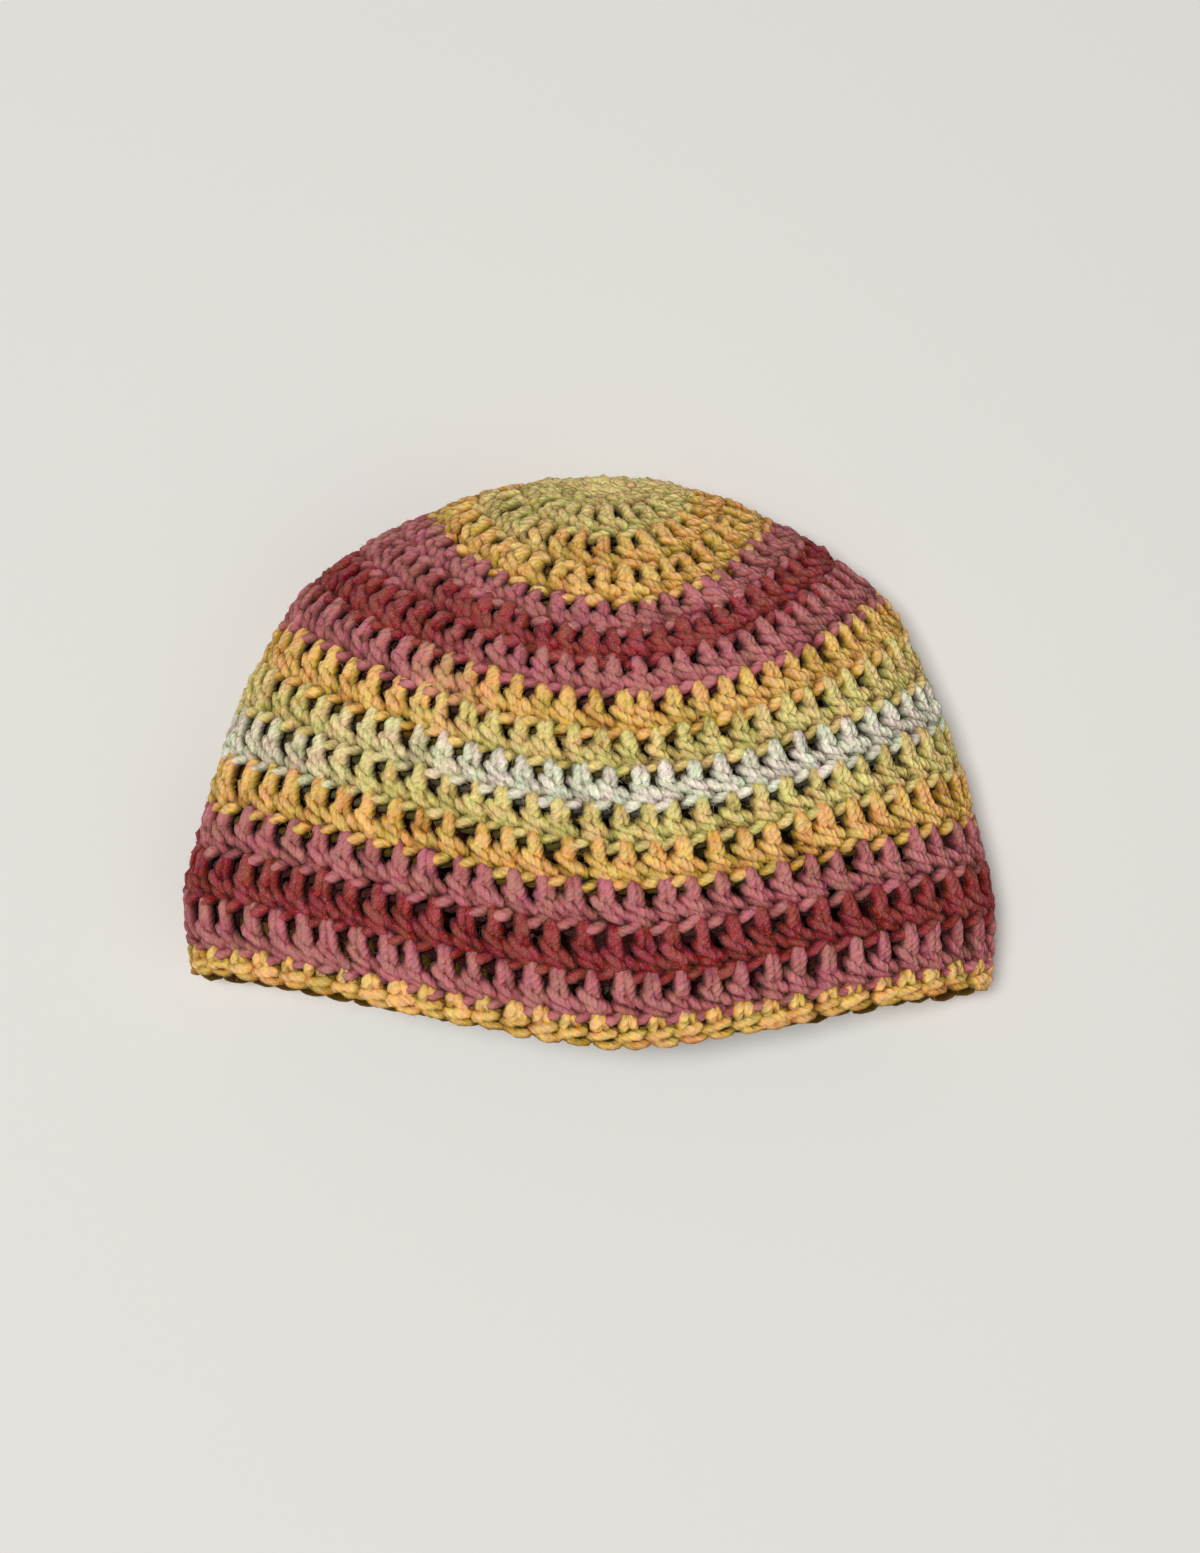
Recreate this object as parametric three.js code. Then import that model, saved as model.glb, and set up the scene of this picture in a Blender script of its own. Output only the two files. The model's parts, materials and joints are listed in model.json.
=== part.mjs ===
// A crocheted skull beanie lying flat on its back, in millimetres with +Z up.
// The hat is worked from the crown down in joined rounds. Fifteen rounds are of tall
// stitches and the last one, the edge, is of short ones. X runs across the hat, the rim is
// toward -Y, the crown toward +Y, and the front panel faces up.
// Each round is one closed band, so the hat is a stack of bands with a disc at the crown.

import * as THREE from 'three';

// Driving sizes
const WIDTH = 218; // across the widest round, lying flat, between the grooves
const LENGTH = 153; // from the crown centre to the middle of the front rim
const HEIGHT = 63; // from the floor to the grooves at the top of the front panel
const WALL = 4.6; // thickness of the cloth at a groove
const RIDGE = 1.3; // how far a round stands out between its grooves
const GAP = 0.3; // clearance between one round and the next

// How far the crown centre lies right of the middle of the hat
const CROWN_X = 5.2;

// The side folds, where the front panel turns into the back one
const CROWN_FOLD_HEIGHT = 27;
const RIM_FOLD_HEIGHT = 20.5;
const FOLD_ROUNDING = 0.25;

// The hat doesn't lie quite straight: it leans to the right and its rim swings with it
const LEAN = -0.02;
const RIM_SWING = 2.3;
const SWING_START = 3; // rounds from the crown before the swing is whole

// A lower round's front line is a rounded V
const VEE_ROUNDING = 0.2;
const VEE_WAVE = 0.35;

const SEGMENTS = 40; // steps round a band
const STEP = 0.05; // step, in rounds and in radians, that a surface normal is taken over

// Each row is one line round the hat: the crown centre, then the lower line of each round.
// half: half the width there, as a share of half of WIDTH
// sideY, frontY, backY: place at the fold and at the middle of the front and of the back,
//   from the crown centre, as shares of LENGTH
// frontZ, backZ: height at the middle of the front and of the back, as shares of HEIGHT.
//   A back line would sink below the floor, and the floor flattens it
// arch: how far the line is an ellipse (1) rather than a rounded V (0)
const COLUMNS = ['half', 'sideY', 'frontY', 'backY', 'frontZ', 'backZ', 'arch'];
const LINES = [
  [0.000, 0.000, 0.000, 0.000, 0.43, 0.43, 1.00],
  [0.128, 0.013, -0.043, 0.046, 0.62, 0.24, 1.00],
  [0.215, 0.012, -0.105, 0.060, 0.75, 0.05, 0.90],
  [0.318, -0.005, -0.176, -0.015, 0.84, -0.03, 0.70],
  [0.417, -0.037, -0.240, -0.095, 0.90, -0.06, 0.55],
  [0.511, -0.068, -0.297, -0.170, 0.95, -0.08, 0.45],
  [0.604, -0.111, -0.352, -0.245, 0.98, -0.08, 0.42],
  [0.707, -0.169, -0.408, -0.320, 1.00, -0.08, 0.40],
  [0.777, -0.234, -0.475, -0.395, 1.00, -0.08, 0.38],
  [0.832, -0.316, -0.538, -0.470, 0.99, -0.08, 0.35],
  [0.878, -0.393, -0.600, -0.545, 0.98, -0.08, 0.32],
  [0.917, -0.479, -0.663, -0.620, 0.95, -0.08, 0.25],
  [0.952, -0.570, -0.730, -0.695, 0.92, -0.08, 0.20],
  [0.980, -0.653, -0.800, -0.770, 0.88, -0.08, 0.15],
  [1.003, -0.738, -0.880, -0.845, 0.83, -0.08, 0.10],
  [0.992, -0.829, -0.952, -0.920, 0.76, -0.08, 0.05],
  [0.981, -0.874, -1.000, -0.965, 0.71, -0.06, 0.00],
];
const ROUNDS = LINES.length - 1;

const YARNS = {
  yellow_green: 0xcbb273,
  gold: 0xd4a862,
  rose: 0xa8675f,
  red: 0x893e3b,
  cream: 0xd4cbb4,
};

// The yarn colour that shows most in each round, from the crown down
const ROUND_YARNS = [
  'yellow_green', 'yellow_green', 'gold', 'gold',
  'rose', 'red', 'rose', 'gold',
  'yellow_green', 'cream', 'yellow_green', 'gold',
  'rose', 'red', 'rose', 'gold',
];

// Sections across a band: place in the round (0 above, 1 below), then how far out, as a
// share of RIDGE outside the cloth and of WALL inside it
const TALL_SECTION = {
  outside: [[0, 0], [0.25, 0.8], [0.6, 0.7], [0.85, 1], [1, 0]],
  inside: [[1, 1], [0, 1]],
};
const EDGE_SECTION = {
  outside: [[0, 0], [0.3, 0.9], [0.7, 0.9], [1, 0]],
  inside: [[1, 0.8], [0, 1]],
};
const CROWN_SECTION = {
  outside: [[0.4, 0.6], [0.8, 0.9], [1, 0]],
  inside: [[1, 1], [0.5, 1]],
};

// A column's smooth value at a place counted in rounds from the crown centre. The line
// before the centre is the first line on the far side of it.
function along(name, place, farName = name, farSign = 1) {
  const at = (line) => {
    if (line < 0) return farSign * LINES[-line][COLUMNS.indexOf(farName)];
    if (line > ROUNDS) return 2 * at(ROUNDS) - at(2 * ROUNDS - line);
    return LINES[line][COLUMNS.indexOf(name)];
  };
  const line = Math.min(Math.max(Math.floor(place), 0), ROUNDS - 1);
  const share = place - line;
  const [before, start, end, after] = [at(line - 1), at(line), at(line + 1), at(line + 2)];
  const bend = 2 * before - 5 * start + 4 * end - after;
  const twist = 3 * (start - end) + after - before;
  return start + 0.5 * share * (end - before + share * (bend + share * twist));
}

// How far a line has risen from the middle of a panel (0) to the fold (1)
function rise(across, arch) {
  const soft = (value, rounding) => {
    return (Math.hypot(value, rounding) - rounding) / (Math.hypot(1, rounding) - rounding);
  };
  const depth = Math.sqrt(Math.max(0, 1 - across * across));
  const ellipse = 1 - soft(depth, FOLD_ROUNDING * (1 - arch));
  const wave = (1 - Math.cos(Math.PI * across)) / 2;
  const vee = VEE_WAVE * wave + (1 - VEE_WAVE) * soft(across, VEE_ROUNDING);
  const veeShare = Math.max(0, 1 - 2 * arch);
  return arch * ellipse + veeShare * vee + (1 - arch - veeShare) * across * across;
}

// A point on the cloth's outer face at groove level. The angle runs from the left fold (0)
// over the front to the right fold (pi) and under the back.
function clothPoint(place, angle) {
  const across = -Math.cos(angle);
  const depth = Math.abs(Math.sin(angle));
  const front = Math.sin(angle) >= 0;
  const share = place / ROUNDS;
  const sideX = CROWN_X * (1 - share) ** 2;
  const swing = (CROWN_X + RIM_SWING * share - sideX) * Math.min(1, place / SWING_START);
  const x = sideX + along('half', place, 'half', -1) * (WIDTH / 2) * across
    + swing * (1 - across * across);
  const sideY = along('sideY', place);
  const middleY = front ? along('frontY', place, 'backY') : along('backY', place, 'frontY');
  const y = LEAN * x
    + LENGTH * (sideY + (middleY - sideY) * (1 - rise(across, along('arch', place))));
  const foldZ = RIM_FOLD_HEIGHT + (CROWN_FOLD_HEIGHT - RIM_FOLD_HEIGHT) * (1 - share) ** 2;
  const middleZ = front ? along('frontZ', place, 'backZ') : along('backZ', place, 'frontZ');
  const z = foldZ + (middleZ * HEIGHT - foldZ) * depth;
  return new THREE.Vector3(x, y, z);
}

// The direction along the cloth toward the rim
function clothDown(place, angle) {
  return clothPoint(place + STEP, angle).sub(clothPoint(place - STEP, angle)).normalize();
}

function clothNormal(place, angle) {
  const round = clothPoint(place, angle + STEP).sub(clothPoint(place, angle - STEP));
  return clothDown(place, angle).cross(round).normalize();
}

// The crown centre has no direction of its own, so its normal is the mean round it
function crownNormal() {
  const sum = new THREE.Vector3();
  for (let step = 0; step < SEGMENTS; step += 1) {
    sum.add(clothNormal(0.5, (step / SEGMENTS) * 2 * Math.PI));
  }
  return sum.normalize();
}

// The floor flattens what would go below it: the outer face to 0, the inner one to WALL
function rest(point, out) {
  point.z = Math.max(point.z, out < 0 ? WALL : 0);
  return point;
}

// One ring of points round a band, "share" down the round and "out" from the groove level.
// At its two lines a round draws back by half the gap.
function ring(round, share, out) {
  const place = round - 1 + share;
  const retreat = { 0: GAP / 2, 1: -GAP / 2 }[share] ?? 0;
  return Array.from({ length: SEGMENTS }, (_, step) => {
    const angle = (step / SEGMENTS) * 2 * Math.PI;
    const point = clothPoint(place, angle)
      .addScaledVector(clothDown(place, angle), retreat)
      .addScaledVector(clothNormal(place, angle), out);
    return rest(point, out);
  });
}

function rings(round, section) {
  return [
    ...section.outside.map(([share, out]) => ring(round, share, out * RIDGE)),
    ...section.inside.map(([share, out]) => ring(round, share, -out * WALL)),
  ];
}

// Triangles between two neighbouring rings, whose first points are at "first" and "second"
function strip(first, second) {
  const faces = [];
  for (let step = 0; step < SEGMENTS; step += 1) {
    const next = (step + 1) % SEGMENTS;
    faces.push(first + step, second + step, first + next);
    faces.push(first + next, second + step, second + next);
  }
  return faces;
}

function solid(points, faces) {
  const geometry = new THREE.BufferGeometry();
  geometry.setAttribute('position', new THREE.Float32BufferAttribute(
    points.flatMap((point) => point.toArray()), 3));
  geometry.setIndex(faces);
  geometry.computeVertexNormals();
  return geometry;
}

// A band closes on itself across its section as well as round the hat
function bandGeometry(round, section) {
  const all = rings(round, section);
  const faces = all.flatMap((_, index) => {
    return strip(index * SEGMENTS, ((index + 1) % all.length) * SEGMENTS);
  });
  return solid(all.flat(), faces);
}

// The first round closes on a point at the crown centre, outside and inside
function crownGeometry() {
  const all = rings(1, CROWN_SECTION);
  const centre = clothPoint(0, 0);
  const outer = centre.clone();
  const inner = centre.addScaledVector(crownNormal(), -WALL);
  const last = (all.length - 1) * SEGMENTS;
  const outerIndex = all.length * SEGMENTS;
  const faces = [];
  for (let index = 0; index < all.length - 1; index += 1) {
    faces.push(...strip(index * SEGMENTS, (index + 1) * SEGMENTS));
  }
  for (let step = 0; step < SEGMENTS; step += 1) {
    const next = (step + 1) % SEGMENTS;
    faces.push(outerIndex, step, next);
    faces.push(outerIndex + 1, last + next, last + step);
  }
  return solid([...all.flat(), outer, inner], faces);
}

function roundMesh(round) {
  const yarn = ROUND_YARNS[round - 1];
  const material = new THREE.MeshStandardMaterial({ color: YARNS[yarn], roughness: 0.9, metalness: 0 });
  const section = round === ROUNDS ? EDGE_SECTION : TALL_SECTION;
  const geometry = round === 1 ? crownGeometry() : bandGeometry(round, section);
  const mesh = new THREE.Mesh(geometry, material);
  mesh.name = round === ROUNDS ? 'edge_round' : `round_${String(round).padStart(2, '0')}`;
  return mesh;
}

const beanie = new THREE.Group();
for (let round = 1; round <= ROUNDS; round += 1) {
  beanie.add(roundMesh(round));
}

// The origin is under the middle of the hat's box, on the floor
const box = new THREE.Box3().setFromObject(beanie);
const middle = box.getCenter(new THREE.Vector3());
beanie.position.set(-middle.x, -middle.y, -box.min.z);

export default beanie;
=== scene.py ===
"""A crocheted skull beanie, lying flat on its back.

The hat is worked from the crown down in fifteen joined rounds of tall stitches, with one
round of short stitches as its edge. Each round is one piece, made of the strands of yarn
of every stitch in it. Lengths of the cloth and its stitches are millimetres; the finished
meshes, the settings, the lights and the camera are in metres.
"""

import json
import math

import bpy
import numpy as np
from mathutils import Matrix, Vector


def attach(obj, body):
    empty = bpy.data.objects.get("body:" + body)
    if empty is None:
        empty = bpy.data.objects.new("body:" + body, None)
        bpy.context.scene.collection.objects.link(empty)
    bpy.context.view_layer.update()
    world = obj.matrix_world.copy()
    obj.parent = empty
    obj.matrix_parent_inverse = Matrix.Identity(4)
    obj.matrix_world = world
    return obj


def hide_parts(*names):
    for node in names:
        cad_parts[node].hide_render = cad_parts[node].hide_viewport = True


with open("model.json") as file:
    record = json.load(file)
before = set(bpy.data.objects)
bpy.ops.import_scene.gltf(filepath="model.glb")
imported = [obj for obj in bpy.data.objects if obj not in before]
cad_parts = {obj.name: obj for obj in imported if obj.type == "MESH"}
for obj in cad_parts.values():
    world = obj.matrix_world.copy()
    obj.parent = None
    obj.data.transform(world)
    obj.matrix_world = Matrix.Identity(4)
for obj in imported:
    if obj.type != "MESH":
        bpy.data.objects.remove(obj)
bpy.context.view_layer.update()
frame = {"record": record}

bl_info = {
    "name": "Crocheted Skull Beanie",
    "version": (1, 0, 0),
    "blender": (4, 5, 0),
    "location": "View3D > Sidebar > Beanie",
    "description": "Builds a crocheted skull beanie stitch by stitch, and a plain stage for it",
    "category": "Add Mesh",
}

MM = 0.001

# The cloth, as the CAD solids have it
WIDTH = 218.0  # across the widest line, at the level of the grooves
LENGTH = 153.0  # from the crown centre to the middle of the rim
HEIGHT = 63.0  # of the front panel's highest line
RIDGE = 1.3  # from the grooves out to the outer face
CROWN_X = 5.2  # how far the crown centre stands to the right
CROWN_FOLD_HEIGHT = 27.0  # of the side folds beside the crown
RIM_FOLD_HEIGHT = 20.5  # of the side folds at the rim
FOLD_ROUNDING = 0.25  # rounding of a line at the side folds, as a share
LEAN = -0.02  # rise of the lines for each millimetre to the right
RIM_SWING = 2.3  # how far the rim's middle stands to the right of the crown centre
SWING_START = 3.0  # rounds over which that swing sets in
VEE_ROUNDING = 0.2  # rounding of the rim's V at its point, as a share
VEE_WAVE = 0.35  # share of the V that is a wave and not straight
STEP = 0.05  # the step that slopes are taken over, in rounds and in radians

# Where the cloth's own origin, the crown centre's height line, lies in the frame
CLOTH_SHIFT = (-0.095, 71.09, 0.0)

# One line round the hat per row: the crown centre, then the lower line of each round.
# Widths are shares of half of WIDTH, places shares of LENGTH, heights shares of HEIGHT.
COLUMNS = ("half", "side_y", "front_y", "back_y", "front_z", "back_z", "arch")
LINES = np.array([
    (0.000, 0.000, 0.000, 0.000, 0.43, 0.43, 1.00),
    (0.128, 0.013, -0.043, 0.046, 0.62, 0.24, 1.00),
    (0.215, 0.012, -0.105, 0.060, 0.75, 0.05, 0.90),
    (0.318, -0.005, -0.176, -0.015, 0.84, -0.03, 0.70),
    (0.417, -0.037, -0.240, -0.095, 0.90, -0.06, 0.55),
    (0.511, -0.068, -0.297, -0.170, 0.95, -0.08, 0.45),
    (0.604, -0.111, -0.352, -0.245, 0.98, -0.08, 0.42),
    (0.707, -0.169, -0.408, -0.320, 1.00, -0.08, 0.40),
    (0.777, -0.234, -0.475, -0.395, 1.00, -0.08, 0.38),
    (0.832, -0.316, -0.538, -0.470, 0.99, -0.08, 0.35),
    (0.878, -0.393, -0.600, -0.545, 0.98, -0.08, 0.32),
    (0.917, -0.479, -0.663, -0.620, 0.95, -0.08, 0.25),
    (0.952, -0.570, -0.730, -0.695, 0.92, -0.08, 0.20),
    (0.980, -0.653, -0.800, -0.770, 0.88, -0.08, 0.15),
    (1.003, -0.738, -0.880, -0.845, 0.83, -0.08, 0.10),
    (0.992, -0.829, -0.952, -0.920, 0.76, -0.08, 0.05),
    (0.981, -0.874, -1.000, -0.965, 0.71, -0.06, 0.00),
])
ROUNDS = len(LINES) - 1

# Stitches in each round, from the crown down
STITCHES = (12, 22, 32, 41, 50, 57) + (62,) * 10

# How far each round's stitches stand to the right of those above, in stitches
STITCH_SHIFT = 0.3

# The yarn changes colour at these places: the round, plus the share of it that is worked,
# counted from the left fold over the front and round the back
STRIPES = (
    (1.000, "yellow_green"),
    (3.140, "gold"),
    (4.700, "rose"),
    (6.090, "red"),
    (7.150, "rose"),
    (8.165, "gold"),
    (9.150, "yellow_green"),
    (10.130, "cream"),
    (11.066, "yellow_green"),
    (11.750, "gold"),
    (12.700, "rose"),
    (13.700, "red"),
    (14.700, "rose"),
    (15.720, "gold"),
)
STRIPE_FADE = 0.012

# Strands of one tall stitch. Each point is a place along the round in stitches, a share
# of the round's height from the line above (0) to its own lower line (1), and a depth in
# millimetres under the hat's outer face.
# name: (points, steps, sides, thickness)
TALL_STRANDS = {
    "post_left": ([
        (0.07, -0.07, 4.2), (0.05, 0.02, 2.2), (0.03, 0.16, 1.3), (0.00, 0.33, 1.25),
        (-0.05, 0.50, 1.5), (-0.12, 0.66, 2.1), (-0.17, 0.80, 2.8), (-0.20, 0.92, 3.8),
    ], 9, 8, 1.27),
    "post_right": ([
        (0.14, -0.07, 4.2), (0.16, 0.02, 2.3), (0.18, 0.16, 1.5), (0.18, 0.33, 1.4),
        (0.17, 0.50, 1.6), (0.20, 0.66, 2.1), (0.25, 0.80, 2.7), (0.32, 0.92, 3.7),
    ], 9, 8, 1.25),
    "wrap": ([
        (-0.28, 0.41, 3.2), (-0.30, 0.48, 1.7), (-0.22, 0.58, 0.95), (-0.05, 0.68, 0.75),
        (0.15, 0.77, 0.95), (0.29, 0.87, 1.7), (0.37, 0.97, 3.2),
    ], 8, 8, 1.08),
    "ridge": ([
        (-0.44, 0.74, 3.5), (-0.34, 0.79, 2.0), (-0.14, 0.86, 1.3), (0.08, 0.93, 1.15),
        (0.29, 0.99, 1.5), (0.43, 1.04, 2.5), (0.50, 1.08, 3.8),
    ], 7, 8, 1.04),
    "under_ridge": ([
        (0.20, 0.57, 3.4), (0.28, 0.65, 1.9), (0.41, 0.74, 1.25), (0.57, 0.84, 1.3),
        (0.71, 0.94, 2.1), (0.78, 1.03, 3.5),
    ], 6, 8, 1.1),
    "front_loop": ([
        (0.20, 1.25, 3.6), (0.33, 1.22, 2.2), (0.53, 1.16, 1.35), (0.75, 1.09, 1.3),
        (0.95, 1.03, 2.1), (1.08, 0.98, 3.6),
    ], 7, 8, 1.2),
    "back_loop": ([
        (0.26, 1.30, 4.2), (0.52, 1.32, 4.5), (0.80, 1.28, 4.6), (1.06, 1.22, 4.4),
        (1.26, 1.16, 4.1),
    ], 5, 6, 0.9),
    "back_post": ([
        (0.08, -0.04, 3.9), (0.08, 0.12, 4.5), (0.0, 0.40, 4.6), (-0.04, 0.68, 4.6),
        (0.0, 0.88, 4.3), (0.10, 1.00, 3.8),
    ], 6, 6, 1.0),
    "back_bar": ([
        (-0.42, 0.86, 4.2), (-0.1, 0.90, 4.7), (0.24, 0.90, 4.7), (0.54, 0.86, 4.2),
    ], 4, 6, 0.85),
}

# Strands of one short stitch of the edge, in the same terms
EDGE_STRANDS = {
    "left_leg": ([
        (0.04, -0.10, 4.2), (0.02, 0.00, 2.2), (-0.03, 0.14, 1.2), (-0.10, 0.30, 1.3),
        (-0.16, 0.44, 1.9), (-0.20, 0.56, 3.2),
    ], 7, 8, 1.35),
    "right_leg": ([
        (0.13, -0.10, 4.2), (0.16, 0.00, 2.3), (0.20, 0.14, 1.5), (0.24, 0.30, 1.6),
        (0.27, 0.44, 2.2), (0.28, 0.56, 3.4),
    ], 7, 8, 1.2),
    "front_loop": ([
        (-0.60, 0.78, 2.9), (-0.40, 0.75, 1.7), (-0.08, 0.69, 1.1), (0.24, 0.61, 1.1),
        (0.48, 0.53, 1.8), (0.62, 0.48, 3.2),
    ], 8, 8, 1.2),
    "back_loop": ([
        (-0.46, 0.86, 2.9), (-0.24, 0.95, 1.4), (0.04, 1.00, 0.95), (0.34, 0.99, 1.1),
        (0.58, 0.92, 1.9), (0.74, 0.84, 3.6),
    ], 7, 8, 0.95),
    "back_leg": ([
        (0.06, -0.06, 4.2), (0.06, 0.22, 4.7), (0.04, 0.50, 4.7), (0.08, 0.76, 4.3),
    ], 4, 6, 1.0),
}

CROWN_HOLE = 0.12  # rounds from the crown centre that no strand comes nearer to
FLOOR_GAP = 0.05  # the least height of the yarn above the floor
FLOOR_BLEND = 1.5  # depth below the floor over which the cloth turns flat
WANDER = (0.045, 0.025, 0.14)  # how far a stitch strays, in the three terms of its points
STRAND_WANDER = 0.8  # how far each strand of it strays on its own, as a share of WANDER
POINT_WANDER = 0.35  # how far each point of a strand strays on its own, as a share of it
FIBRE_WANDER = 0.07  # how far a strand's thickness strays, as a share
TAPER = (0.06, 0.75)  # thickness of a strand's hidden end and of the step before it
RIGHT_LEAN = 0.5  # how far the foot of a stitch at the right fold stands to its right
PRESSED = 0.30  # how much wider the yarn lies where it is pressed under the back
LUMPS = 0.075  # how far the yarn's thickness strays along it and round it, as a share
LOBES = 2  # ridges round a strand's section
FACE_GAIN = 2.0  # how much the outer side of a strand counts as nearer to the outer face, so that the painted shade is lighter on a strand's middle and darker on its flanks
STITCH_SEED = 11  # starts the random wander of the stitches
YARN_SEED = 111  # starts the random lumps and fibres of the yarn

# Loose fibres, each a ribbon of three pairs of points
HAIRS = 10  # on each strand that shows
SHOWN_SIDES = 8  # sides of the strands that show
HAIR_POINTS = 6
HAIR_LENGTH = (0.8, 2.2)  # least and greatest
HAIR_WIDTH = 0.09
HAIR_TAPER = (1.0, 0.8, 0.3)  # width at the root, the middle and the tip
HAIR_SPREAD = 1.5  # radians to each side of the way out that a fibre may start
HAIR_ROOT = 0.9  # where it starts, as a share of the strand's radius
HAIR_LIFT = 0.55  # how far it heads away from the strand
HAIR_STRAY = 0.35  # how far its heading strays
HAIR_CURL = 0.5  # how far its outer half strays from its heading
HAIR_SAG = 0.25  # how far its outer half falls back to the strand
HAIR_DEPTH = -1.2  # the depth whose painted shade it gets

# Painted shade: how much of its colour the yarn keeps at each depth under the outer face, in
# millimetres: it darkens towards the gaps between strands, and less so on the inner face
SHADOW = (
    (-2.2, 1.0), (-1.5, 0.82), (-1.0, 0.62), (-0.3, 0.40), (0.6, 0.24), (1.6, 0.15),
    (2.8, 0.09), (4.0, 0.07), (5.5, 0.15), (7.5, 0.50),
)
SHADOW_GAIN = 1.2  # raises the whole of it

# Sizes of the patterns, in clouds a metre
BLOTCH_SCALE = 160.0
TINT_SCALE = 230.0
HEATHER_SCALE = 900.0
FUZZ_SCALE = 2600.0
TOOTH_SCALE = 900.0  # the floor's

# What each pattern adds to the brightness of the yarn, and to the height of its relief; the ply term
# of the brightness is painted shade in the grooves between the plies, the rest the yarn's own uneven
# tone
SHADE = {"base": 0.275, "tone": 0.16, "streak": 0.22, "heather": 1.15, "ply": 0.03}
RELIEF = {"ply": 0.22, "streak": 0.2, "fuzz": 0.2, "heather": 0.75}

PLIES = 4  # plies twisted into the yarn
PLY_STRAY = 0.5  # how far the heather bends the lines between them
STREAK_STRETCH = 0.5  # streaks for each millimetre of yarn
STREAK_SPREAD = 40.0  # sets the streaks of one strand apart from those of the next
BLOTCH_DRIFT = 0.05  # rounds that a change of colour strays

# The yarn's colours stray towards pink and towards green, as a faint veil over them
CASTS = ((0.36, (1.0, 0.90, 0.97)), (0.50, (0.98, 0.97, 0.94)), (0.64, (0.91, 1.0, 0.92)))
TINT_TURN = 0.06  # how far the hue strays
SATURATION = 1.20
HEATHER_SATURATION = 0.5  # what the heather adds to it
LIT_SATURATION = 0.22  # what the yarn loses of it where the painted shade is lightest, so that the painted shade stays rich in colour
FUZZ_SHEEN_RANGE = (0.54, 0.80)  # where the fuzz gets pale specks of painted sheen
FUZZ_SHEEN_SHARE = 0.40  # the most that the painted sheen covers
# The colour of the painted sheen on the fuzz
FUZZ_SHEEN_COLOUR = (0.66, 0.53, 0.46, 1.0)


def along(name, place, far_name=None, far_sign=1.0):
    """A column's smooth value at a place counted in rounds from the crown centre."""
    values = LINES[:, COLUMNS.index(name)]
    far = far_sign * LINES[1, COLUMNS.index(far_name or name)]
    values = np.concatenate([[far], values, [2 * values[-1] - values[-2]]])
    line = np.clip(np.floor(place).astype(int), 0, ROUNDS - 1)
    share = place - line
    before, start, end, after = (values[line + step] for step in range(4))
    bend = 2 * before - 5 * start + 4 * end - after
    twist = 3 * (start - end) + after - before
    return start + 0.5 * share * (end - before + share * (bend + share * twist))


def soft(value, rounding):
    """A distance from 0 to 1 whose corner at 0 is rounded."""
    top = np.hypot(1.0, rounding) - rounding
    return (np.hypot(value, rounding) - rounding) / top


def rise(across, arch):
    """How far a line has risen from the middle of a panel (0) to the fold (1)."""
    depth = np.sqrt(np.maximum(0.0, 1 - across * across))
    ellipse = 1 - soft(depth, FOLD_ROUNDING * (1 - arch))
    wave = (1 - np.cos(np.pi * across)) / 2
    vee = VEE_WAVE * wave + (1 - VEE_WAVE) * soft(across, VEE_ROUNDING)
    vee_share = np.maximum(0.0, 1 - 2 * arch)
    return arch * ellipse + vee_share * vee + (1 - arch - vee_share) * across ** 2


def cloth_point(place, angle):
    """A point of the cloth at groove level, before the floor flattens it."""
    across = -np.cos(angle)
    depth = np.abs(np.sin(angle))
    front = np.sin(angle) >= 0
    share = place / ROUNDS
    side_x = CROWN_X * (1 - share) ** 2
    swing = (CROWN_X + RIM_SWING * share - side_x) * np.minimum(1.0, place / SWING_START)
    half = along("half", place, far_sign=-1.0) * WIDTH / 2
    x = side_x + half * across + swing * (1 - across ** 2)
    side_y = along("side_y", place)
    middle_y = np.where(front, along("front_y", place, "back_y"), along("back_y", place, "front_y"))
    risen = rise(across, along("arch", place))
    y = LEAN * x + LENGTH * (side_y + (middle_y - side_y) * (1 - risen))
    fold_z = RIM_FOLD_HEIGHT + (CROWN_FOLD_HEIGHT - RIM_FOLD_HEIGHT) * (1 - share) ** 2
    middle_z = np.where(front, along("front_z", place, "back_z"), along("back_z", place, "front_z"))
    z = fold_z + (middle_z * HEIGHT - fold_z) * depth
    return np.stack([x, y, z], axis=-1) + np.array(CLOTH_SHIFT)


def unit(vectors):
    """The vectors at length 1."""
    return vectors / np.maximum(np.linalg.norm(vectors, axis=-1, keepdims=True), 1e-9)


def outer_face(place, angle):
    """Points of the hat's outer face and the way out of it, flat where it lies."""
    down = cloth_point(place + STEP, angle) - cloth_point(place - STEP, angle)
    round_ = cloth_point(place, angle + STEP) - cloth_point(place, angle - STEP)
    outward = unit(np.cross(down, round_))
    points = cloth_point(place, angle) + RIDGE * outward
    sunk = np.clip(-points[..., 2:] / FLOOR_BLEND, 0.0, 1.0)
    outward = unit(outward * (1 - sunk) + np.array([0.0, 0.0, -1.0]) * sunk)
    points[..., 2] = np.maximum(points[..., 2], 0.0)
    return points, outward


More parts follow.
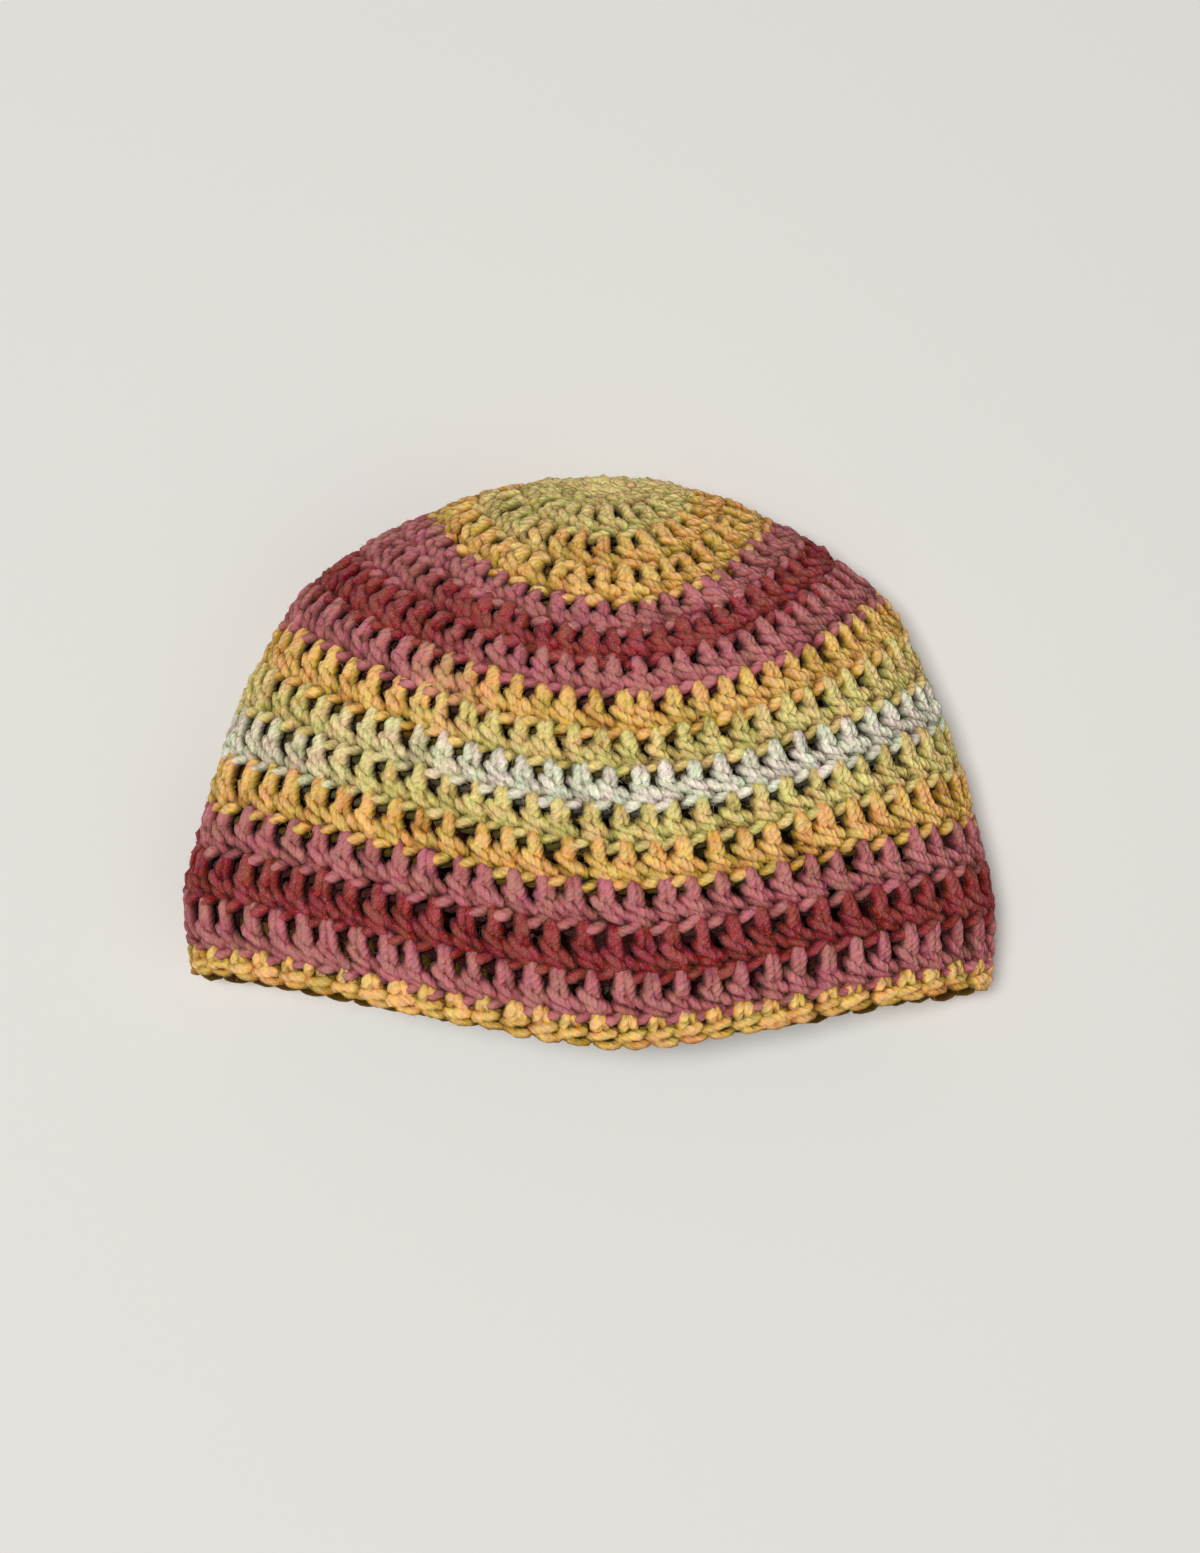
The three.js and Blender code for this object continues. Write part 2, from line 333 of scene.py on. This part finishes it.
class Turns:
    """Turns a share of the way round the hat into the angle that the cloth uses."""

    PLACES = np.arange(0.1, ROUNDS + 0.6, 0.2)
    HALF = 360

    def __init__(self):
        angles = np.linspace(0, 2 * math.pi, 2 * self.HALF + 1)
        self.table = np.array([self.row(place, angles) for place in self.PLACES])

    def row(self, place, angles):
        """Angles at even steps of length, half of them over the front panel."""
        points, _ = outer_face(np.full(angles.shape, place), angles)
        steps = np.linalg.norm(np.diff(points, axis=0), axis=1)
        front = np.cumsum(steps[:self.HALF])
        back = np.cumsum(steps[self.HALF:])
        turns = np.concatenate([[0.0], 0.5 * front / front[-1], 0.5 + 0.5 * back / back[-1]])
        return np.interp(np.linspace(0, 1, 2 * self.HALF + 1), turns, angles)

    def angle(self, place, turn):
        """The angle at a turn, which may run past 0 and 1."""
        step = self.PLACES[1] - self.PLACES[0]
        row = np.clip((place - self.PLACES[0]) / step, 0, len(self.PLACES) - 1.001)
        column = (turn % 1.0) * 2 * self.HALF
        top, left = np.floor(row).astype(int), np.floor(column).astype(int)
        down, right = row - top, column - left
        upper = self.table[top, left] * (1 - right) + self.table[top, left + 1] * right
        lower = self.table[top + 1, left] * (1 - right) + self.table[top + 1, left + 1] * right
        return upper * (1 - down) + lower * down


def smooth_path(points, steps):
    """A smooth path through the given points of every stitch at once."""
    ends = (2 * points[:, :1] - points[:, 1:2], 2 * points[:, -1:] - points[:, -2:-1])
    points = np.concatenate([ends[0], points, ends[1]], axis=1)
    place = np.linspace(0, points.shape[1] - 3, steps + 1)
    start = np.minimum(np.floor(place).astype(int), points.shape[1] - 4)
    share = (place - start)[None, :, None]
    p0, p1, p2, p3 = (points[:, start + step] for step in range(4))
    bend = 2 * p0 - 5 * p1 + 4 * p2 - p3
    twist = 3 * (p1 - p2) + p3 - p0
    return p1 + 0.5 * share * (p2 - p0 + share * (bend + share * twist))


def strand_frames(path, outward):
    """Two directions across each step of a path, carried along it without a twist."""
    tangent = unit(np.gradient(path, axis=1))
    side = np.empty_like(path)
    current = outward[:, 0]
    for step in range(path.shape[1]):
        along_path = tangent[:, step]
        current = unit(current - along_path * np.sum(current * along_path, axis=1, keepdims=True))
        side[:, step] = current
    return side, np.cross(tangent, side)


class YarnMesh:
    """Collects the strands of one round and makes one mesh of them."""

    def __init__(self, sizes, random):
        self.sizes, self.random, self.hairs = sizes, random, 0
        self.points, self.faces, self.uvs = [], [], []
        self.places, self.tones, self.depths = [], [], []
        self.count = 0

    def add(self, path, outward, thickness, sides, place, tone, depth):
        """Sweeps one strand of every stitch: a twisted, lobed section along its path."""
        stitches, rings = path.shape[:2]
        side, other = strand_frames(path, outward)
        length = np.linalg.norm(np.diff(path, axis=1), axis=2)
        length = np.concatenate([np.zeros((stitches, 1)), np.cumsum(length, axis=1)], axis=1)
        corner = np.arange(sides) * 2 * math.pi / sides
        twist = 2 * math.pi * length / (self.sizes.twist_length / MM)
        lobes = 1 + self.sizes.ply_relief * np.cos(LOBES * (corner - twist[..., None]))
        taper = np.ones(rings)
        taper[[0, -1]] = TAPER[0]
        taper[[1, -2]] = TAPER[1]
        lumps = 1 + LUMPS * self.random.normal(size=(stitches, rings, 1))
        lumps = lumps + LUMPS * self.random.normal(size=lobes.shape)
        radius = thickness[:, None, None] * taper[None, :, None] * lobes * lumps
        points = (path[:, :, None]
                  + side[:, :, None] * (np.cos(corner)[:, None] * radius[..., None])
                  + other[:, :, None] * (np.sin(corner)[:, None] * radius[..., None]))
        self.add_fuzz(path, outward, radius[:, :, 0], place)
        # The depth that sets the painted shade: deeper yarn and a strand's flanks are painted darker,
        # its outer side lighter
        centre = np.sum(path * outward, axis=-1)
        out_share = np.sum(points * outward[:, :, None], axis=-1) - centre[..., None]
        self.depths.append((depth[..., None] - FACE_GAIN * out_share).ravel())
        points[..., 2] = np.maximum(points[..., 2], FLOOR_GAP)
        self.join(points, length, place, tone)

    def add_fuzz(self, path, outward, radius, place):
        """Fine loose fibres: each a narrow bent ribbon that stands out of a strand's face."""
        if not self.hairs:
            return
        stitches, rings = path.shape[:2]
        shape = (stitches, self.hairs)
        random = self.random
        ring = random.uniform(1, rings - 2.01, size=shape)
        low = np.floor(ring).astype(int)
        row = np.arange(stitches)[:, None]
        share = (ring - low)[..., None]
        root = path[row, low] * (1 - share) + path[row, low + 1] * share
        tangent = unit(path[row, low + 1] - path[row, low])
        slant = np.sum(outward[row, low] * tangent, axis=-1, keepdims=True)
        out = unit(outward[row, low] - tangent * slant)
        lean = random.uniform(-HAIR_SPREAD, HAIR_SPREAD, size=shape)[..., None]
        away = out * np.cos(lean) + np.cross(tangent, out) * np.sin(lean)
        root = root + away * radius[row, low][..., None] * HAIR_ROOT
        reach = random.uniform(*HAIR_LENGTH, size=shape)[..., None] / 2
        drift = tangent * random.normal(size=shape)[..., None]
        stray = random.normal(size=root.shape) * HAIR_STRAY
        heading = unit(away * HAIR_LIFT + drift + stray)
        middle = root + heading * reach
        curl = random.normal(size=root.shape) * HAIR_CURL
        tip = middle + unit(heading + curl - away * HAIR_SAG) * reach
        across = unit(np.cross(heading, away + 0.01)) * HAIR_WIDTH / 2
        line = np.stack([root, middle, tip], axis=2)
        width = across[:, :, None] * np.array(HAIR_TAPER)[:, None]
        points = np.stack([line - width, line + width], axis=3).reshape(-1, 3, 2, 3)
        points[..., 2] = np.maximum(points[..., 2], FLOOR_GAP)
        count = len(points)
        index = self.count + np.arange(count * HAIR_POINTS).reshape(count, 3, 2)
        left, right = index[..., 0], index[..., 1]
        faces = np.stack([left[:, :-1], right[:, :-1], right[:, 1:], left[:, 1:]], axis=-1)
        self.points.append(points.reshape(-1, 3))
        self.faces.append(faces.reshape(-1, 4))
        self.uvs.append(np.zeros((faces.size, 2)))
        self.places.append(np.repeat(place, self.hairs * HAIR_POINTS))
        self.tones.append(random.uniform(size=count).repeat(HAIR_POINTS))
        self.depths.append(np.full(count * HAIR_POINTS, HAIR_DEPTH))
        self.count += index.size

    def join(self, points, length, place, tone):
        """Adds the quads between the rings, with the yarn's length and girth as UVs."""
        stitches, rings, sides = points.shape[:3]
        index = self.count + np.arange(stitches * rings * sides).reshape(stitches, rings, sides)
        after = np.roll(index, -1, axis=2)
        faces = np.stack([index[:, :-1], after[:, :-1], after[:, 1:], index[:, 1:]], axis=-1)
        girth = np.arange(sides) / sides
        u = np.broadcast_to(length[:, :, None], index.shape)
        v = np.broadcast_to(girth, (stitches, rings - 1, sides))
        corners_u = np.stack([u[:, :-1], u[:, :-1], u[:, 1:], u[:, 1:]], axis=-1)
        corners_v = np.stack([v, v + 1 / sides, v + 1 / sides, v], axis=-1)
        self.points.append(points.reshape(-1, 3))
        self.faces.append(faces.reshape(-1, 4))
        self.uvs.append(np.stack([corners_u, corners_v], axis=-1).reshape(-1, 2))
        self.places.append(np.repeat(place, rings * sides))
        self.tones.append(np.repeat(tone, rings * sides))
        self.count += index.size

    def make(self, name):
        """One mesh object at the frame's origin, in metres."""
        points = np.concatenate(self.points) * MM
        faces = np.concatenate(self.faces)
        mesh = bpy.data.meshes.new(name)
        mesh.vertices.add(len(points))
        mesh.vertices.foreach_set("co", points.ravel())
        mesh.loops.add(faces.size)
        mesh.loops.foreach_set("vertex_index", faces.ravel())
        mesh.polygons.add(len(faces))
        mesh.polygons.foreach_set("loop_start", np.arange(0, faces.size, 4))
        layer = mesh.uv_layers.new(name="yarn")
        layer.data.foreach_set("uv", np.concatenate(self.uvs).ravel())
        labels = (("yarn_place", self.places), ("yarn_tone", self.tones), ("yarn_depth", self.depths))
        for label, values in labels:
            attribute = mesh.attributes.new(label, "FLOAT", "POINT")
            attribute.data.foreach_set("value", np.concatenate(values))
        mesh.update(calc_edges=True)
        mesh.validate()
        mesh.polygons.foreach_set("use_smooth", np.ones(len(faces), dtype=bool))
        piece = bpy.data.objects.new(name, mesh)
        bpy.context.scene.collection.objects.link(piece)
        return piece


def crochet_round(number, strands, turns, sizes):
    """The mesh of one round: every strand of a stitch, repeated round the hat."""
    random = np.random.default_rng(STITCH_SEED + number)
    stitches = STITCHES[number - 1]
    start = STITCH_SHIFT * number
    order = np.arange(stitches) + start % 1.0
    stray = random.normal(size=(stitches, 1, 3)) * np.array(WANDER)
    yarn = YarnMesh(sizes, np.random.default_rng(YARN_SEED + number))
    for points, steps, sides, thickness in strands.values():
        local = np.array(points)[None] + stray
        local = local + random.normal(size=(stitches, 1, 3)) * np.array(WANDER) * STRAND_WANDER
        local = local + random.normal(size=local.shape) * np.array(WANDER) * POINT_WANDER
        local = smooth_path(local, steps)
        turned = 0.5 - 0.5 * np.cos(2 * math.pi * order / stitches)
        local[..., 0] += RIGHT_LEAN * turned[:, None] * (local[..., 1] - 0.5)
        turn = (order[:, None] + local[..., 0]) / stitches
        place = np.maximum(number - 1 + local[..., 1], CROWN_HOLE)
        surface, outward = outer_face(place, turns.angle(place, turn))
        path = surface - outward * local[..., 2:]
        radius = 0.5 * sizes.yarn_diameter / MM * thickness
        radius = radius * (1 + FIBRE_WANDER * random.normal(size=stitches))
        radius = radius * (1 + PRESSED * np.maximum(0.0, -np.sin(2 * math.pi * order / stitches)))
        tone = random.uniform(size=stitches)
        yarn.hairs = HAIRS if sides == SHOWN_SIDES else 0
        yarn.add(path, outward, radius, sides, number + order / stitches, tone, local[..., 2])
    return yarn


class Wire:
    """A socket of a material. Arithmetic on it adds the Math nodes that work it out."""

    def __init__(self, tree, socket=None):
        self.tree, self.socket = tree, socket

    def node(self, kind, settings=None, sockets=None, out=0):
        """Adds a node: its settings first, then the values or links of its sockets."""
        made = self.tree.nodes.new(kind)
        for name, value in (settings or {}).items():
            if name == "stops":
                self.set_stops(made.color_ramp, value)
            else:
                setattr(made, name, value)
        for name, value in (sockets or {}).items():
            if isinstance(value, Wire):
                self.tree.links.new(value.socket, made.inputs[name])
            else:
                made.inputs[name].default_value = value
        return Wire(self.tree, made.outputs[out] if made.outputs else None)

    @staticmethod
    def set_stops(ramp, stops):
        """Gives a colour ramp its stops, each a position and a colour."""
        while len(ramp.elements) > 1:
            ramp.elements.remove(ramp.elements[-1])
        for index, (position, colour) in enumerate(stops):
            element = ramp.elements[0] if index == 0 else ramp.elements.new(position)
            element.position = position
            element.color = (*colour, 1.0)

    def maths(self, operation, *values):
        """The result of a Math node."""
        return self.node("ShaderNodeMath", {"operation": operation}, dict(enumerate(values)))

    def __add__(self, other):
        return self.maths("ADD", self, other)

    __radd__ = __add__

    def __sub__(self, other):
        return self.maths("SUBTRACT", self, other)

    def __mul__(self, other):
        return self.maths("MULTIPLY", self, other)

    def noise(self, scale, detail):
        """A cloudy pattern at this place, from 0 to 1."""
        sockets = {"Vector": self, "Scale": scale, "Detail": detail}
        return self.node("ShaderNodeTexNoise", sockets=sockets)

    def ramp(self, stops):
        """The colour at this value, from 0 to 1, between the colours of the stops."""
        return self.node("ShaderNodeValToRGB", {"stops": stops}, {0: self})

    def mix(self, kind, factor, other):
        """This colour mixed with another one, by a factor."""
        sockets = {0: factor, 6: self, 7: other}
        return self.node("ShaderNodeMix", {"data_type": "RGBA", "blend_type": kind}, sockets, 2)


def new_material(name, colour):
    """An empty node material, and the wire that its nodes start from."""
    material = bpy.data.materials.new(name)
    material.use_nodes = True
    material.diffuse_color = (*colour, 1.0)
    material.node_tree.nodes.clear()
    return material, Wire(material.node_tree)


def stripe_stops(colours):
    """The yarn's colours as ramp stops over the whole hat, with a short fade at each change."""
    stops = []
    for index, (place, name) in enumerate(STRIPES):
        position = (place - 1) / ROUNDS
        fade = STRIPE_FADE / ROUNDS
        if index:
            stops.append((position - fade, tuple(getattr(colours, STRIPES[index - 1][1]))))
        stops.append((position + fade if index else 0.0, tuple(getattr(colours, name))))
    return stops


def painted_yarn_shade(depth):
    """The painted shade: how much of its colour the yarn keeps at a depth."""
    first, last = SHADOW[0][0], SHADOW[-1][0]
    stops = [((under - first) / (last - first), (light,) * 3) for under, light in SHADOW]
    kept = ((depth - first) * (1 / (last - first))).ramp(stops)
    return kept.node("ShaderNodeSeparateColor", sockets={0: kept})


def yarn_material(name, colours, sizes):
    """Soft spun yarn: striped along its length, heathered, with twisted plies and fuzz; painted shade
    darkens it between and across the strands, and painted sheen lightens the fuzz in specks.
    """
    material, start = new_material(name, getattr(colours, name.removeprefix("spun_yarn_")))
    place, tone, depth = (
        start.node("ShaderNodeAttribute", {"attribute_name": label}, out=2)
        for label in ("yarn_place", "yarn_tone", "yarn_depth"))
    uv = start.node("ShaderNodeUVMap", {"uv_map": "yarn"})
    length = start.node("ShaderNodeSeparateXYZ", sockets={0: uv})
    girth = Wire(start.tree, length.socket.node.outputs[1])
    spot = start.node("ShaderNodeTexCoord", out=3)

    blotch = spot.noise(BLOTCH_SCALE, 2.0)
    tint = spot.noise(TINT_SCALE, 3.0)
    heather = spot.noise(HEATHER_SCALE, 3.0)
    fuzz = spot.noise(FUZZ_SCALE, 3.0)
    ply_turn = girth * PLIES - length * (MM / sizes.twist_length * PLIES) + heather * PLY_STRAY
    ply = start.maths("SINE", ply_turn * (2 * math.pi))
    streak = start.node("ShaderNodeCombineXYZ", sockets={
        0: length * STREAK_STRETCH, 1: ply_turn, 2: tone * STREAK_SPREAD}).noise(1.0, 3.0)

    dyed = (place - 1.0 + (blotch - 0.5) * BLOTCH_DRIFT) * (1.0 / ROUNDS)
    colour = dyed.ramp(stripe_stops(colours)).mix("MULTIPLY", 1.0, tint.ramp(CASTS))
    # The ply term paints shade into the grooves between the plies
    shade = (SHADE["base"] + tone * SHADE["tone"] + streak * SHADE["streak"]
             + heather * SHADE["heather"] + ply * SHADE["ply"])
    # Painted shade from the shading depth; where it is darkest the colour is also painted richer
    sunk = painted_yarn_shade(depth) * SHADOW_GAIN
    saturation = SATURATION + (heather - 0.5) * HEATHER_SATURATION - sunk * LIT_SATURATION
    varied = start.node("ShaderNodeHueSaturation", sockets={
        "Hue": 0.5 + (tint - 0.5) * TINT_TURN, "Saturation": saturation,
        "Value": shade * sunk, "Color": colour})
    # Pale specks of painted sheen on the fuzz, only as bright as the painted shade lets them be
    pale = start.node("ShaderNodeMapRange", sockets={
        "Value": fuzz, "From Min": FUZZ_SHEEN_RANGE[0], "From Max": FUZZ_SHEEN_RANGE[1],
        "To Min": 0.0, "To Max": FUZZ_SHEEN_SHARE})
    tinted = varied.mix("MIX", pale * sunk, FUZZ_SHEEN_COLOUR)

    relief = (ply * RELIEF["ply"] + streak * RELIEF["streak"] + fuzz * RELIEF["fuzz"]
              + heather * RELIEF["heather"])
    bump = start.node("ShaderNodeBump", sockets={
        "Strength": 1.0, "Distance": 0.0006, "Height": relief})
    cover = start.node("ShaderNodeBsdfPrincipled", sockets={
        "Base Color": tinted, "Roughness": 0.92, "Specular IOR Level": 0.08,
        "Sheen Weight": 0.05, "Sheen Roughness": 0.5, "Normal": bump})
    start.node("ShaderNodeOutputMaterial", sockets={0: cover})
    return material


def floor_material(colour):
    """Matt pale paper with the faintest tooth."""
    material, start = new_material("stage_floor", colour)
    spot = start.node("ShaderNodeTexCoord", out=3)
    tooth = spot.noise(TOOTH_SCALE, 2.0)
    bump = start.node("ShaderNodeBump", sockets={
        "Strength": 0.08, "Distance": 0.0002, "Height": tooth})
    cover = start.node("ShaderNodeBsdfPrincipled", sockets={
        "Base Color": (*colour, 1.0), "Roughness": 0.9, "Normal": bump})
    start.node("ShaderNodeOutputMaterial", sockets={0: cover})
    return material


def slot_material(slot, settings):
    """The yarn material of a slot, made once."""
    name = f"spun_{slot}"
    found = bpy.data.materials.get(name)
    return found or yarn_material(name, settings.beanie_colours, settings.beanie_sizes)


def place_round(node, number, strands, settings):
    """Makes a round's piece and puts it in the place of the CAD solid of that round."""
    slots = {part["node"]: part["material_slot"] for part in frame["record"]["subparts"]}
    yarn = crochet_round(number, strands, Turns(), settings.beanie_sizes)
    piece = yarn.make(f"yarn_{node}")
    piece.data.materials.append(slot_material(slots[node], settings))
    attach(piece, "root")
    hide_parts(node)


def add_area_light(name, place, target, size, power):
    """A square soft light that points at a target."""
    data = bpy.data.lights.new(name, "AREA")
    data.energy, data.size = power, size
    light = bpy.data.objects.new(name, data)
    light.location = place
    aim = Vector(target) - Vector(place)
    light.rotation_euler = aim.to_track_quat("-Z", "Y").to_euler()
    bpy.context.scene.collection.objects.link(light)


def colour_property(name, description, default):
    """A colour setting, its default given as seen on screen, 0 to 255."""
    linear = [pow((value / 255 + 0.055) / 1.055, 2.4) for value in default]
    return bpy.props.FloatVectorProperty(
        name=name, description=description, default=linear, size=3, min=0, max=1, subtype="COLOR")


class BeanieSizes(bpy.types.PropertyGroup):
    """Sizes of the yarn."""

    yarn_diameter: bpy.props.FloatProperty(
        name="Yarn diameter", description="Thickness of the yarn, as it lies in a stitch",
        default=0.00275, min=0.001, max=0.005, unit="LENGTH")
    twist_length: bpy.props.FloatProperty(
        name="Twist length", description="Length of yarn in which its plies turn once",
        default=0.0068, min=0.002, max=0.05, unit="LENGTH")
    ply_relief: bpy.props.FloatProperty(
        name="Ply relief", description="How far the plies stand out, as a share of the radius",
        default=0.04, min=0.0, max=0.3, subtype="FACTOR")


class BeanieColours(bpy.types.PropertyGroup):
    """Colours of the striped yarn."""

    yellow_green: colour_property(
        "Yellow-green", "Colour of the yellow-green stretches", (220, 197, 122))
    gold: colour_property("Gold", "Colour of the gold stretches", (227, 177, 96))
    rose: colour_property("Rose", "Colour of the dusty rose stretches", (182, 104, 104))
    red: colour_property("Red", "Colour of the dark red stretches", (149, 54, 52))
    cream: colour_property("Cream", "Colour of the cream stretch", (225, 219, 196))


class BeanieStage(bpy.types.PropertyGroup):
    """The floor, lights and camera."""

    floor_colour: colour_property("Floor", "Colour of the floor", (226, 223, 218))
    key_power: bpy.props.FloatProperty(
        name="Key light", description="Power of the main soft light",
        default=79.0, min=0.0, max=1000.0, unit="POWER")
    fill_power: bpy.props.FloatProperty(
        name="Fill light", description="Power of the light opposite the main one",
        default=12.6, min=0.0, max=1000.0, unit="POWER")
    sky_strength: bpy.props.FloatProperty(
        name="Sky strength", description="Brightness of the light from all round",
        default=0.11, min=0.0, max=5.0)
    camera_distance: bpy.props.FloatProperty(
        name="Camera distance", description="From the camera to the hat's middle height",
        default=0.7, min=0.2, max=5.0, unit="LENGTH")
    camera_elevation: bpy.props.FloatProperty(
        name="Camera elevation", description="Angle of the view above the floor",
        default=math.radians(80), min=0.0, max=math.radians(90), unit="ROTATION")


class AddCrownRound(bpy.types.Operator):
    """Crochets the first round, the disc at the crown"""

    bl_idname = "beanie.add_crown_round"
    bl_label = "Add crown round"

    def execute(self, context):
        place_round("round_01", 1, TALL_STRANDS, context.scene)
        return {"FINISHED"}


class AddTallRounds(bpy.types.Operator):
    """Crochets the rounds of tall stitches between the crown and the edge"""

    bl_idname = "beanie.add_tall_rounds"
    bl_label = "Add tall rounds"

    def execute(self, context):
        for number in range(2, ROUNDS):
            place_round(f"round_{number:02d}", number, TALL_STRANDS, context.scene)
        return {"FINISHED"}


class AddEdgeRound(bpy.types.Operator):
    """Crochets the edge, a round of short stitches along the rim"""

    bl_idname = "beanie.add_edge_round"
    bl_label = "Add edge round"

    def execute(self, context):
        place_round("edge_round", ROUNDS, EDGE_STRANDS, context.scene)
        return {"FINISHED"}


# The point that the camera looks at, and how many of the photograph's pixels span one
# millimetre at the height of the side folds
AIM = (2.9, -7.5, 24.0)
PIXELS_PER_MM = 3.645
PHOTO_WIDTH = 1200  # pixels
SENSOR = 36.0

# The stage, in metres
FLOOR_REACH = 8.0  # from the floor's middle to each of its sides
LIT_POINT = (0.0, 0.0, 0.03)
KEY_PLACE = (-0.53, -0.33, 3.0)
KEY_SIZE = 0.83
FILL_PLACE = (1.65, -1.65, 2.4)
FILL_SIZE = 2.7
SKY_COLOUR = (1.0, 0.99, 0.97, 1.0)


class AddStage(bpy.types.Operator):
    """Adds the pale floor, the soft studio light and the camera"""

    bl_idname = "beanie.add_stage"
    bl_label = "Add stage"

    def execute(self, context):
        stage = context.scene.beanie_stage
        self.add_floor(stage)
        self.add_lights(context.scene, stage)
        self.add_camera(context.scene, stage)
        return {"FINISHED"}

    @staticmethod
    def add_floor(stage):
        """A wide floor at height 0."""
        reach = FLOOR_REACH
        mesh = bpy.data.meshes.new("stage_floor")
        corners = [(-reach, -reach, 0), (reach, -reach, 0), (reach, reach, 0), (-reach, reach, 0)]
        mesh.from_pydata(corners, [], [(0, 1, 2, 3)])
        mesh.materials.append(floor_material(tuple(stage.floor_colour)))
        floor = bpy.data.objects.new("stage_floor", mesh)
        bpy.context.scene.collection.objects.link(floor)

    @staticmethod
    def add_lights(scene, stage):
        """A main light, a light opposite it and an even sky."""
        add_area_light("key_light", KEY_PLACE, LIT_POINT, KEY_SIZE, stage.key_power)
        add_area_light("fill_light", FILL_PLACE, LIT_POINT, FILL_SIZE, stage.fill_power)
        world = bpy.data.worlds.new("studio")
        world.use_nodes = True
        background = world.node_tree.nodes["Background"]
        background.inputs["Color"].default_value = SKY_COLOUR
        background.inputs["Strength"].default_value = stage.sky_strength
        scene.world = world
        scene.view_settings.view_transform = "Standard"

    @staticmethod
    def add_camera(scene, stage):
        """The photograph's camera."""
        data = bpy.data.cameras.new("photo_camera")
        data.sensor_fit = "HORIZONTAL"
        data.sensor_width = SENSOR
        data.lens = SENSOR * PIXELS_PER_MM * stage.camera_distance / MM / PHOTO_WIDTH
        camera = bpy.data.objects.new("photo_camera", data)
        aim = Vector(AIM) * MM
        away = Vector((0, -math.cos(stage.camera_elevation), math.sin(stage.camera_elevation)))
        camera.location = aim + away * stage.camera_distance
        camera.rotation_euler = (-away).to_track_quat("-Z", "Y").to_euler()
        scene.collection.objects.link(camera)
        scene.camera = camera


class BeaniePanel(bpy.types.Panel):
    """The beanie's settings and steps"""

    bl_idname = "VIEW3D_PT_beanie"
    bl_label = "Crocheted beanie"
    bl_space_type = "VIEW_3D"
    bl_region_type = "UI"
    bl_category = "Beanie"

    def draw(self, context):
        """Lists the settings of every group, and then the steps."""
        for label in ("beanie_sizes", "beanie_colours", "beanie_stage"):
            group = getattr(context.scene, label)
            box = self.layout.box()
            for name in group.bl_rna.properties.keys():
                if name not in ("rna_type", "name"):
                    box.prop(group, name)
        for operator in OPERATORS:
            self.layout.operator(operator.bl_idname)


OPERATORS = (AddCrownRound, AddTallRounds, AddEdgeRound, AddStage)
GROUPS = {"beanie_sizes": BeanieSizes, "beanie_colours": BeanieColours, "beanie_stage": BeanieStage}


def register():
    """Registers the settings, the operators and the panel."""
    for group in (*GROUPS.values(), *OPERATORS, BeaniePanel):
        bpy.utils.register_class(group)
    for name, group in GROUPS.items():
        setattr(bpy.types.Scene, name, bpy.props.PointerProperty(type=group))


def unregister():
    """Takes back what register added."""
    for name in GROUPS:
        delattr(bpy.types.Scene, name)
    for group in (BeaniePanel, *reversed(OPERATORS), *reversed(GROUPS.values())):
        bpy.utils.unregister_class(group)


def main():
    register()
    bpy.ops.beanie.add_crown_round()
    bpy.ops.beanie.add_tall_rounds()
    bpy.ops.beanie.add_edge_round()
    bpy.ops.beanie.add_stage()


if __name__ == "__main__":
    main()
